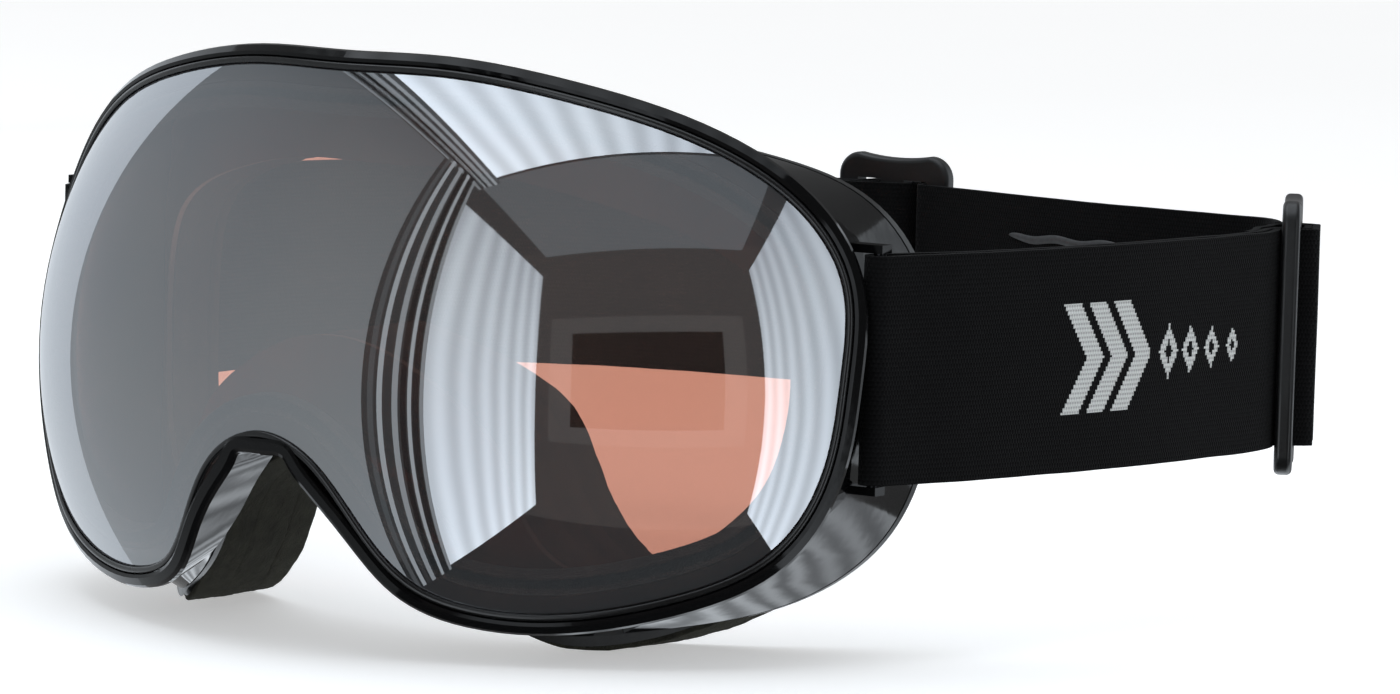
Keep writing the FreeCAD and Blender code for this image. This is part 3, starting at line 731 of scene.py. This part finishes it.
def tail_plan(start, end):
    """Inner layer: leaves the back of the anchor bar and closes up to the outer layer."""
    reach = abs(end - start)
    d = np.maximum(np.linspace(0, reach, int(reach / PLAN_STEP)), TAIL_START)
    radius = np.linalg.norm(BAR - along(0)[0])
    level = -LAYER - (2 * radius - LAYER) * (1 - ease(d / 24.0))
    return along(start + np.sign(end - start) * d, level)


def sewn_end(centre, way):
    """Inner layer from the tail's end, up round the adjuster's middle bar and back under itself."""
    low, clear, corner = -LAYER, 0.4 + STRAP_T / 2, 1.0
    half = MIDDLE_BAR + clear
    top, bottom = PLATE_LEVEL + SLIDER_T / 2 + clear, PLATE_LEVEL - SLIDER_T / 2 - clear
    under = low - LAYER
    p = [(-TAIL_END + 0.3, low), (-12, low), (-8, low + 0.1), (-half - 1.3, bottom - 0.6),
         (-half, bottom + corner), (-half, PLATE_LEVEL), (-half, top - corner), (-half + corner, top),
         (0, top), (half - corner, top), (half, top - corner), (half, PLATE_LEVEL),
         (half, bottom + corner), (half - corner, bottom - 0.4), (-1, bottom - 1.5), (-5, under + 0.5),
         (-10, under + 0.3), (-TAIL_END + 1, under + 0.3)]
    curve = Curve(chords(p), p)
    x, level = curve(np.linspace(0, curve.u[-1], 80)).T
    return along(centre + way * x, level)


def adjusters():
    """What belongs to each adjuster: the inner layer that leads to it, its sewn end and the thread."""
    for side, centre, way, start in (("left", LEFT_S, 1, 0.0), ("right", RIGHT_S, -1, PATH_LENGTH)):
        body = "adjuster_" + side
        tail = webbing("strap_tail_" + side, tail_plan(start, centre - way * TAIL_END), start, None,
                       ["webbing_tail_" + side])
        spot(centre - way * (TAIL_END + TAIL_EASE))
        spot(centre - way * TAIL_END)
        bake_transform(tail)
        webbing("strap_loop_" + side, sewn_end(centre, way), centre + 60, body, ["webbing_loop_" + side])
        stitching(side, centre, way, body)


def stitching(side, centre, way, body):
    """Two rows of lock stitches: plump threads that dip into the webbing at their ends."""
    verts, faces = [], []
    level = -LAYER * 2 + 0.3 - STRAP_T / 2
    count, pitch, half, thick = 13, 2.75, 1.05, 0.27
    rings, sides = 9, 7
    for x in (-14.6, -9.4):
        p, q = along(centre + way * x, level)[0], along(centre + way * x, level - 1)[0]
        inward = np.append(unit(q - p), 0)
        tangent = np.array([inward[1], -inward[0], 0])
        for i in range(count):
            base = len(verts)
            mid = np.array([p[0], p[1], (i - count // 2) * pitch])
            for a in np.linspace(-1, 1, rings):
                r = thick * math.sqrt(max(1 - a * a, 0.02))
                c = mid + np.array([0, 0, a * half]) + inward * (0.18 - 0.25 * a * a)
                for j in range(sides):
                    b = 2 * math.pi * j / sides
                    verts.append(c + inward * r * math.cos(b) + tangent * r * math.sin(b))
            faces += tube_faces(rings, sides, base)
    piece("stitches_" + side, verts, faces, MAT["thread"], body, ["stitching_" + side])


def grip():
    """Three wavy silicone lines printed on the inside of the strap."""
    verts, faces = [], []
    s = np.linspace(LEFT_S + EASE + 1.5, LEFT_S + EASE + 43, 90)
    sides, rise, half_width = 8, 0.34, 0.8
    for z in (-12, 0, 12):
        base = len(verts)
        for i, a in enumerate(s):
            end = math.sqrt(max(1 - (2 * i / (len(s) - 1) - 1) ** 8, 0.03))
            x, y = along(a, -STRAP_T / 2 - 0.14)[0]
            tx, ty = along(a, -STRAP_T / 2 - 1.14)[0]
            inward = unit(np.array([tx - x, ty - y, 0]))
            zc = z + 0.3 * math.sin(a * 0.55)
            for j in range(sides):
                b = 2 * math.pi * j / sides
                verts.append(np.array([x, y, zc]) + inward * rise * end * math.cos(b)
                             + np.array([0, 0, half_width * end * math.sin(b)]))
        faces += tube_faces(len(s), sides, base)
    piece("grip_beads", verts, faces, MAT["grip"], "goggles", ["grip_lines"])


# ---- studio ----------------------------------------------------------------------------------------
def panel(name, centre, facing, width, height, color, strength, ribs=0, axis="X", fade=(1, 1),
          fold=(0.8, 1.08)):
    """Soft light panel; ribs are the folds of its cloth and fold their contrast, fade its share of
    light at the bottom and the top.  Not seen by the camera itself."""
    mesh = bpy.data.meshes.new(name)
    w, h = width / 2, height / 2
    mesh.from_pydata([(-w, -h, 0), (w, -h, 0), (w, h, 0), (-w, h, 0)], [], [(0, 1, 2, 3)])
    o = bpy.data.objects.new(name, mesh)
    scene.collection.objects.link(o)
    z = Vector(facing).normalized()
    x = Vector((0, 0, 1)).cross(z)
    x = Vector(AXIS) if x.length < 1e-3 else x.normalized()
    o.matrix_world = Matrix.Translation(centre) @ Matrix((x, z.cross(x), z)).transposed().to_4x4()
    s = Shader(name, (0, 0, 0), 1.0, fixed={"Specular IOR Level": 0.0, "Emission Color": (*color, 1),
                                            "Emission Strength": strength})
    light = strength
    if fade != (1, 1):
        rise = s.node("ShaderNodeSeparateXYZ", {"Vector": s.place()}).outputs["Y"]
        light = s.ramp(rise, -h, h, fade[0] * strength, fade[1] * strength)
    if ribs:
        wave = s.node("ShaderNodeTexWave", {"Vector": s.place(), "Scale": ribs, "Distortion": 1.2,
                                            "Detail Scale": 0.5}, wave_type="BANDS", bands_direction=axis)
        light = s.math("MULTIPLY", s.ramp(wave.outputs["Fac"], 0, 1, *fold), light)
    if light is not strength:
        s.use("Emission Strength", light)
    mesh.materials.append(s.material)
    o.visible_camera = False
    o.visible_shadow = False


TURN = math.radians(49)
AXIS = Vector((math.sin(TURN), -math.cos(TURN), 0))     # the tent opens this way
SIDE = Vector((-AXIS.y, AXIS.x, 0))


def studio():
    """Light tent round the object: lit cloth each side of its opening and above, grey cloth on its
    left, a dim room beyond the opening."""
    cool, grey = (0.88, 0.94, 1.0), (0.90, 0.96, 1.0)
    half, near, far, top, tall = 0.40, 0.40, 0.93, 0.66, 1.3
    mid, depth = (near + far) / 2, far - near
    up = Vector((0, 0, 1))
    for sign, name in ((-1, "tent_left"), (1, "tent_right")):
        panel(name, AXIS * mid + SIDE * half * sign, SIDE * -sign, depth, 1.08, cool, 2.1,
              ribs=3.6, fade=(1.15, 0.6))
    panel("tent_top", up * top - AXIS * 0.02 + SIDE * 0.05, -up, 0.86, 0.84, cool, 2.3,
          ribs=4.5, axis="Y", fade=(0.55, 1.15))
    panel("tent_ceiling", up * top + AXIS * 0.68, -up, 0.52, 0.8, grey, 0.30)
    panel("tent_floor", up * -0.55 + AXIS * 0.42, up, 0.84, 1.02, grey, 0.07)
    panel("tent_wall", SIDE * -0.41 - AXIS * 0.212, SIDE, 0.936, tall, grey, 0.5, fade=(1.45, 0.6))
    panel("tent_end", SIDE * -0.30 - AXIS * 0.92, AXIS + SIDE * 0.4, 0.8, tall, cool, 1.05)
    panel("tent_back", Vector((0.275, 0.476, 0.03)), Vector((-0.5, -0.866, 0)), 0.40, 0.42, cool, 1.9,
          ribs=5.5, fold=(0.35, 1.1))
    panel("tent_low", Vector((0.05, 0.36, -0.36)), Vector((-0.1, -0.6, 0.7)), 0.75, 0.34, cool, 2.2,
          ribs=5.5, fold=(0.45, 1.1))
    # the room seen through the opening: its wall, and a dark window in a paler frame
    window = SIDE * -0.03 + up * 0.09
    panel("room", AXIS * 1.6, -AXIS, 2.6, 2.4, (1.0, 0.97, 0.95), 0.12)
    panel("room_frame", AXIS * 1.56 + window, -AXIS, 1.15, 0.90, (1.0, 0.96, 0.93), 0.17)
    panel("room_window", AXIS * 1.55 + window, -AXIS, 0.87, 0.66, (1.0, 0.9, 0.85), 0.03)
    # gathered cloth where the grey side meets the opening: shift along it, light and width of each fold
    folds = ((-0.125, 0.20, 0.012), (-0.105, 0.85, 0.012), (-0.088, 0.10, 0.010), (-0.070, 0.70, 0.014),
             (-0.050, 0.04, 0.014), (-0.034, 0.90, 0.010), (-0.018, 0.05, 0.016), (-0.002, 0.60, 0.010))
    post, bar = SIDE * -0.393 + AXIS * 0.39, up * 0.645 - SIDE * half - AXIS * 0.02
    for i, (shift, light, wide) in enumerate(folds):
        panel(f"tent_post_{i}", post + AXIS * shift, SIDE, wide, tall, grey, light)
        panel(f"tent_bar_{i}", bar - SIDE * shift * 0.5, -up, 0.9, wide, grey, light)


def sky():
    """Even pale light, weaker from where the tent opens, and weaker still in mirror reflections."""
    world = bpy.data.worlds.new("studio")
    scene.world = world
    world.use_nodes = True
    tree = world.node_tree
    generated = add_node(tree, "ShaderNodeTexCoord").outputs["Generated"]
    behind = add_node(tree, "ShaderNodeVectorMath", {0: generated, 1: tuple(-AXIS)}, operation="DOT_PRODUCT")
    fade = add_node(tree, "ShaderNodeMapRange", {"Value": behind.outputs["Value"], "From Min": -0.1,
                                                 "From Max": 0.4, "To Min": 0.35, "To Max": 1.0},
                    interpolation_type="SMOOTHSTEP")
    glossy = add_node(tree, "ShaderNodeLightPath").outputs["Is Glossy Ray"]
    dim = add_node(tree, "ShaderNodeMath", {0: glossy, 1: -0.7, 2: 1.0}, operation="MULTIPLY_ADD")
    total = add_node(tree, "ShaderNodeMath", {0: fade.outputs["Result"], 1: dim.outputs[0]},
                     operation="MULTIPLY")
    background = tree.nodes["Background"]
    background.inputs["Color"].default_value = (0.97, 0.985, 1.0, 1)
    tree.links.new(total.outputs[0], background.inputs["Strength"])


def floor():
    """Pale sweep.  Mirror reflections look past it, into the lower half of the tent."""
    r, n = 8.0, 96
    mesh = bpy.data.meshes.new("floor")
    z = CAD_BOX[0].z - 0.0006
    mesh.from_pydata([(r * math.cos(2 * math.pi * i / n), r * math.sin(2 * math.pi * i / n), z)
                      for i in range(n)], [], [tuple(range(n))])
    o = bpy.data.objects.new("floor", mesh)
    scene.collection.objects.link(o)
    s = Shader("floor", (0.86, 0.86, 0.86), 0.85, fixed={
        "Specular IOR Level": 0.1, "Emission Color": (1, 1, 1, 1), "Emission Strength": 0.42})
    tone = s.ramp(s.noise(3, 2), 0.3, 0.7, 0, 1)
    s.use("Base Color", s.mix(tone, (0.85, 0.85, 0.85), (0.87, 0.87, 0.87)))
    mesh.materials.append(s.material)
    o.visible_glossy = False


def camera():
    """Long lens on the wearer's left, in front and slightly above."""
    data = bpy.data.cameras.new("camera")
    o = bpy.data.objects.new("camera", data)
    scene.collection.objects.link(o)
    right, up, back = (0.8383, 0.5444, 0.0279), (-0.0824, 0.0759, 0.9937), (0.5389, -0.8353, 0.1085)
    m = Matrix((right, up, back)).transposed().to_4x4()
    m.translation = (0.7095, -1.0104, 0.1336)
    o.matrix_world = m
    data.sensor_width, data.lens = 36, 178.9
    scene.camera = o


# ---- build -----------------------------------------------------------------------------------------
MAT = {
    "gloss": gloss_black("gloss_black", 0.04, 0.5),
    "rim": gloss_black("rim_gloss", 0.03, 0.22),
    "anchor": gloss_black("anchor_black", 0.03, 0.1),
    "bead": satin("bead_rubber", (0.004, 0.004, 0.0042), rough=(0.18, 0.3), bump=0.08),
    "carrier": satin("carrier_plastic", (0.005, 0.005, 0.005), rough=(0.3, 0.5)),
    "slider": satin("adjuster_plastic", (0.003, 0.003, 0.0032), rough=(0.26, 0.46), bump=0.18),
    "grip": satin("grip_rubber", (0.035, 0.036, 0.038), rough=(0.35, 0.5), bump=0.1),
    "spacer": foam_material("spacer_foam", (0.008, 0.008, 0.008), (0.03, 0.03, 0.03), 2500),
    "vent": foam_material("vent_foam", (0.006, 0.006, 0.006), (0.045, 0.045, 0.045), 1100),
    "base": fleece_material("foam_base"),
    "middle": fleece_material("foam_middle"),
    "fleece": fleece_material("face_fleece"),
    "webbing": webbing_material(),
    "thread": thread_material(),
    "mirror": mirror_material(),
    "clear": clear_material(),
    "tint": tint_material(),
    "steel": steel_material(),
}
CAD_LOOKS = {"rim_band": "rim", "frame_wall": "gloss", "foam_flange": "carrier", "slider_left": "slider",
             "slider_right": "slider", "anchor_left": "anchor", "anchor_right": "anchor",
             "anchor_bars": "steel"}
for name, look in CAD_LOOKS.items():
    nodes[name].data.materials.clear()
    nodes[name].data.materials.append(MAT[look])
for name in ("anchor_left", "anchor_right"):
    soften(nodes[name], 0.12)

lens_piece("lens_outer", 1.4, 0.0, LENS_T, [MAT["mirror"], MAT["clear"]], "outer_lens")
lens_piece("lens_inner", -3.0, LENS_T + AIR_GAP, INNER_T, [MAT["tint"], MAT["tint"]],
           "inner_lens", 3.0)
ring_piece("lens_bead", ring(bead, 0.3), MAT["bead"], "goggles", ["rim_bead"])
ring_piece("spacer_ring", ring(spacer, 0.5, spacing=1.5), MAT["spacer"], "goggles",
           ["lens_spacer"])
foam_piece("foam_back_layer", foam_layer(-FOAM_T + 3 * GAP, -8.8, 1.2, 2.0, 0.8), MAT["base"],
           "foam_base", 0.3)
foam_piece("foam_middle_layer", foam_layer(-9.3, -3.1, 1.3, 1.0, 0.95), MAT["middle"],
           "foam_middle", 0.3)
foam_piece("fleece_face", foam_layer(-3.6, 0.0, 1.3, 0.0, 1.0), MAT["fleece"], "face_fleece", 0.9)
vent_foam_piece("vent_strip_top", 0.0, KNOTS[3] * 0.86, True, "top_vent_foam", MAT["vent"], 4.0)
vent_foam_piece("vent_strips_low", KNOTS[9] * 1.02, KNOTS[10] * 1.01, False, "low_vent_foam",
                MAT["vent"], 5.0)
strap()
adjusters()
grip()
studio()
sky()
floor()
camera()
scene.view_settings.view_transform = "Standard"
